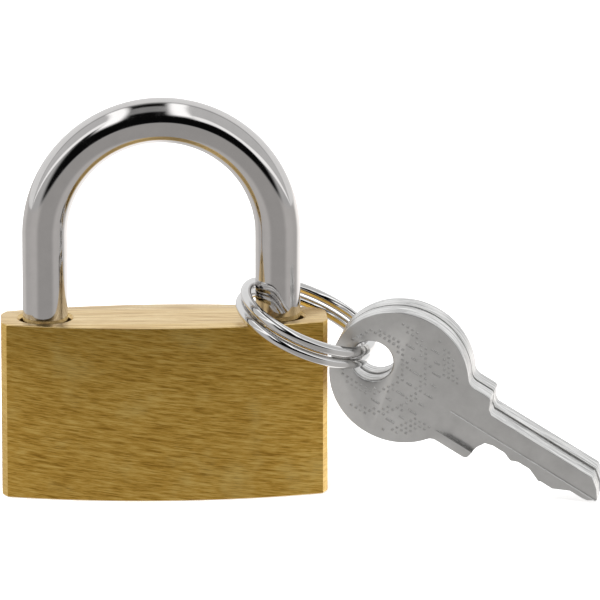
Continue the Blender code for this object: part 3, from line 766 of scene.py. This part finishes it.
def build_key(node, body, hole, fan):
    """One key: broken edges, a broken hole edge, the groove along its blade, and the marks."""
    reach = KEY_TIP - TIP_CORNER_BACK + KEY_HOLE_INSET
    low = hole.z - TABLE_GAP - KEY_HALF * math.sin(KEY_LEAN)
    rise = low / math.cos(KEY_LEAN) / math.hypot(reach, TIP_CORNER_DROP)
    pitch = math.asin(rise) - math.atan2(TIP_CORNER_DROP, reach)
    place = at(*hole) @ KEY_TURN @ Matrix.Rotation(pitch - fan, 4, "Y")
    outline = [(x + KEY_HOLE_INSET, z) for x, z in key_outline()]
    rows = []
    inner, outer = 0.03, 0.09   # the broken edges between the keys are finer
    for side, soft in ((-1, inner if fan else outer), (1, outer if fan else inner)):
        for a in (90, 60, 30, 0):
            turn = math.radians(a)
            y = side * (KEY_HALF - soft * (1 - math.sin(turn)))
            rows.append((y, soft * (1 - math.cos(turn))))
    rows.sort()
    verts, faces = loft([[(x, y, z) for x, z in shrunk(outline, inset)] for y, inset in rows])
    key = add_mesh(node + "_blank", verts, faces, (nickel,), place, 40)
    mouth = 0.22
    profile = [(KEY_HOLE_R + mouth + 0.6, -KEY_HALF - 0.6), (KEY_HOLE_R + mouth, -KEY_HALF)]
    profile += [(KEY_HOLE_R + 0.07, -KEY_HALF + 0.10), (KEY_HOLE_R, -KEY_HALF + 0.26)]
    profile += [(r, -y) for r, y in reversed(profile)]
    cutters = [turned(node + "_hole", profile, place @ along((0, 1, 0)), 72)]
    start = KEY_GROOVE_START + KEY_HOLE_INSET
    end = KEY_TIP + KEY_HOLE_INSET + 1.0
    deep = KEY_GROOVE_DEPTH - KEY_HALF
    profile = [(start, -KEY_HALF)]
    for i in range(1, 9):
        t = i / 8
        sunk = KEY_GROOVE_DEPTH * (3 - 2 * t) * t * t
        profile.append((start + KEY_GROOVE_RUNOUT * t, -KEY_HALF + sunk))
    profile += [(end, deep), (end, -KEY_HALF - 1), (start, -KEY_HALF - 1)]
    rows = (-KEY_GROOVE_BOTTOM, -KEY_GROOVE_TOP)
    verts, faces = loft([[(x, y, z) for x, y in profile] for z in rows])
    cutters.append(add_mesh(node + "_groove", verts, faces, (), place))
    nick = [(-KEY_HALF - 0.05, -0.31), (-KEY_HALF - 0.05, 0.01), (-KEY_HALF + 0.16, -0.07)]
    verts, faces = loft([[(x, y, z) for y, z in nick] for x in (start + 0.6, end)])
    cutters.append(add_mesh(node + "_nick", verts, faces, (), place))
    apply_cuts(key, cutters, 40)
    settle(key)
    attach(key, body)
    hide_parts(node)
    build_marks(node + "_marks", place, body)


def build_keys():
    """Two alike keys side by side on the ring."""
    heading = KEY_TURN @ Vector((1, 0, 0))
    upright = KEY_TURN @ Vector((0, 0, 1))
    out = Vector((math.cos(KEY_RING_ANGLE), math.sin(KEY_RING_ANGLE), 0))
    wire = ring_centre() + RING_TURN @ (out * RING_RADIUS)
    keys = (("key_front", "front_key", -1, 0.0), ("key_rear", "rear_key", 1, KEY_FAN))
    for node, body, side, fan in keys:
        hole = wire + KEY_HANG * heading - KEY_DROP * upright + side * KEY_SPREAD * KEY_DEPTH
        build_key(node, body, hole, fan)


build_body()
build_shackle()
build_ring()
build_keys()


# ---------------------------------------------------------------- studio
def build_world():
    """Two soft boxes overhead, pale wings beside them, a bright rear and a dim front."""
    world = bpy.data.worlds.new("studio")
    bpy.context.scene.world = world
    world.use_nodes = True
    tree = world.node_tree
    nodes = Nodes(tree)
    parts = nodes.add("ShaderNodeSeparateXYZ")
    nodes.put(parts.inputs[0], nodes.add("ShaderNodeTexCoord").outputs["Generated"])
    x, y, z = parts.outputs
    front = nodes.times(y, -1.0)
    degree = math.degrees(1)
    azimuth = nodes.times(nodes.math("ABSOLUTE", nodes.math("ARCTAN2", x, front)), degree)
    height = nodes.times(nodes.math("ARCSINE", z), degree)
    # the angle up and over from the front horizon, 90 overhead and 180 at the back horizon
    over = nodes.times(nodes.math("ARCTAN2", z, front), degree)
    below = nodes.step(height, -3.0, 2.0, 1.0, 0.0)
    above = nodes.math("SUBTRACT", 1.0, below)

    low = nodes.step(azimuth, 28.0, 52.0, 0.42, 0.60)
    low = nodes.times(low, nodes.step(azimuth, 60.0, 95.0, 1.0, 0.93))
    across = nodes.step(x, -0.1, 0.1, 0.18, 0.78)
    behind = nodes.times(nodes.step(azimuth, 104.0, 128.0), across)
    low = nodes.plus(low, behind)
    low = nodes.times(low, below)

    left = nodes.band(x, -0.46, -0.27, 0.05)
    right = nodes.band(x, 0.09, 0.27, 0.05)
    boxes = nodes.times(nodes.plus(left, right), nodes.band(over, 38.0, 112.0, 8.0))
    boxes = nodes.times(boxes, 1.6)
    wings = nodes.math("SUBTRACT", 1.0, nodes.band(x, -0.38, 0.22, 0.07))
    near = nodes.step(x, -0.8, -0.4, 38.0, 50.0)
    far = nodes.step(x, 0.35, 0.68, 33.0, 20.0)
    rightward = nodes.step(x, -0.1, 0.1)
    leftward = nodes.math("SUBTRACT", 1.0, rightward)
    start = nodes.plus(nodes.times(leftward, near), nodes.times(rightward, far))
    rise = nodes.math("SUBTRACT", over, start)
    fading = nodes.step(over, 104.0, 120.0, 0.66, 0.0)
    pale = nodes.times(wings, nodes.times(nodes.step(rise, -3.0, 4.0), fading))
    glow = nodes.times(wings, nodes.times(nodes.band(rise, 0.0, 19.0, 4.0), 1.3))
    strip = nodes.times(nodes.band(over, 57.0, 88.0, 6.0), 0.30)
    rear = nodes.step(over, 104.0, 124.0, 0.10, 0.95)
    fading = nodes.step(height, 26.0, 44.0, 0.55, 0.0)
    sides = nodes.times(nodes.step(azimuth, 38.0, 56.0), fading)
    high = nodes.most(boxes, strip)
    high = nodes.most(high, nodes.most(pale, glow))
    high = nodes.most(high, nodes.times(rear, nodes.step(over, 98.0, 110.0)))
    high = nodes.most(high, sides)
    high = nodes.plus(nodes.times(high, above), 0.004)
    total = nodes.plus(low, high)

    seen = nodes.add("ShaderNodeBackground")
    nodes.put(seen.inputs["Color"], nodes.blend(below, (1.0, 1.0, 1.0), (1.0, 0.975, 0.955)))
    nodes.put(seen.inputs["Strength"], total)
    plain = nodes.add("ShaderNodeBackground")
    plain.inputs["Color"].default_value = (1.0, 1.0, 1.0, 1.0)
    plain.inputs["Strength"].default_value = 1.02
    mix = nodes.add("ShaderNodeMixShader")
    nodes.put(mix.inputs[0], nodes.add("ShaderNodeLightPath").outputs["Is Camera Ray"])
    nodes.put(mix.inputs[1], seen.outputs[0])
    nodes.put(mix.inputs[2], plain.outputs[0])
    out = [n for n in tree.nodes if n.type == "OUTPUT_WORLD"][0]
    nodes.put(out.inputs["Surface"], mix.outputs[0])


def build_floor():
    """A plain pale floor."""
    size = 0.9
    mesh = bpy.data.meshes.new("floor")
    corners = [(-size, -size, 0), (size, -size, 0), (size, size * 2, 0), (-size, size * 2, 0)]
    mesh.from_pydata(corners, [], [(0, 1, 2, 3)])
    floor = bpy.data.objects.new("floor", mesh)
    bpy.context.scene.collection.objects.link(floor)
    surface = bpy.data.materials.new("floor_white")
    surface.use_nodes = True
    shader = surface.node_tree.nodes["Principled BSDF"]
    shader.inputs["Base Color"].default_value = (0.9, 0.9, 0.9, 1.0)
    shader.inputs["Roughness"].default_value = 0.9
    shader.inputs["Specular IOR Level"].default_value = 0.0
    shader.inputs["Emission Color"].default_value = (1.0, 1.0, 1.0, 1.0)
    shader.inputs["Emission Strength"].default_value = 0.55
    mesh.materials.append(surface)
    floor.location = (0, 0, -0.0001)
    floor.visible_glossy = False


def area_light(name, place, target, size, power):
    """A soft square lamp that points at a spot."""
    data = bpy.data.lights.new(name, "AREA")
    data.shape = "SQUARE"
    data.size = size
    data.energy = power
    lamp = bpy.data.objects.new(name, data)
    bpy.context.scene.collection.objects.link(lamp)
    lamp.location = place
    lamp.rotation_euler = (Vector(target) - Vector(place)).to_track_quat("-Z", "Y").to_euler()
    lamp.visible_glossy = False


def build_camera():
    """A long lens a metre away, a little above and to the left of square on."""
    aim = Vector((16.82, -0.73, 24.07)) * MM
    azimuth, elevation = math.radians(-2.5), math.radians(14)
    flat = math.cos(elevation)
    away = Vector((math.sin(azimuth) * flat, -math.cos(azimuth) * flat, math.sin(elevation)))
    data = bpy.data.cameras.new("camera")
    camera = bpy.data.objects.new("camera", data)
    bpy.context.scene.collection.objects.link(camera)
    camera.location = aim + away
    camera.rotation_euler = (-away).to_track_quat("-Z", "Y").to_euler()
    data.sensor_width = 36
    data.lens = 484.8
    bpy.context.scene.camera = camera


build_world()
build_floor()
area_light("top_light", (-0.1, -0.15, 0.5), (0.01, 0, 0.02), 0.3, 3.0)
build_camera()
bpy.context.scene.view_settings.view_transform = "Standard"
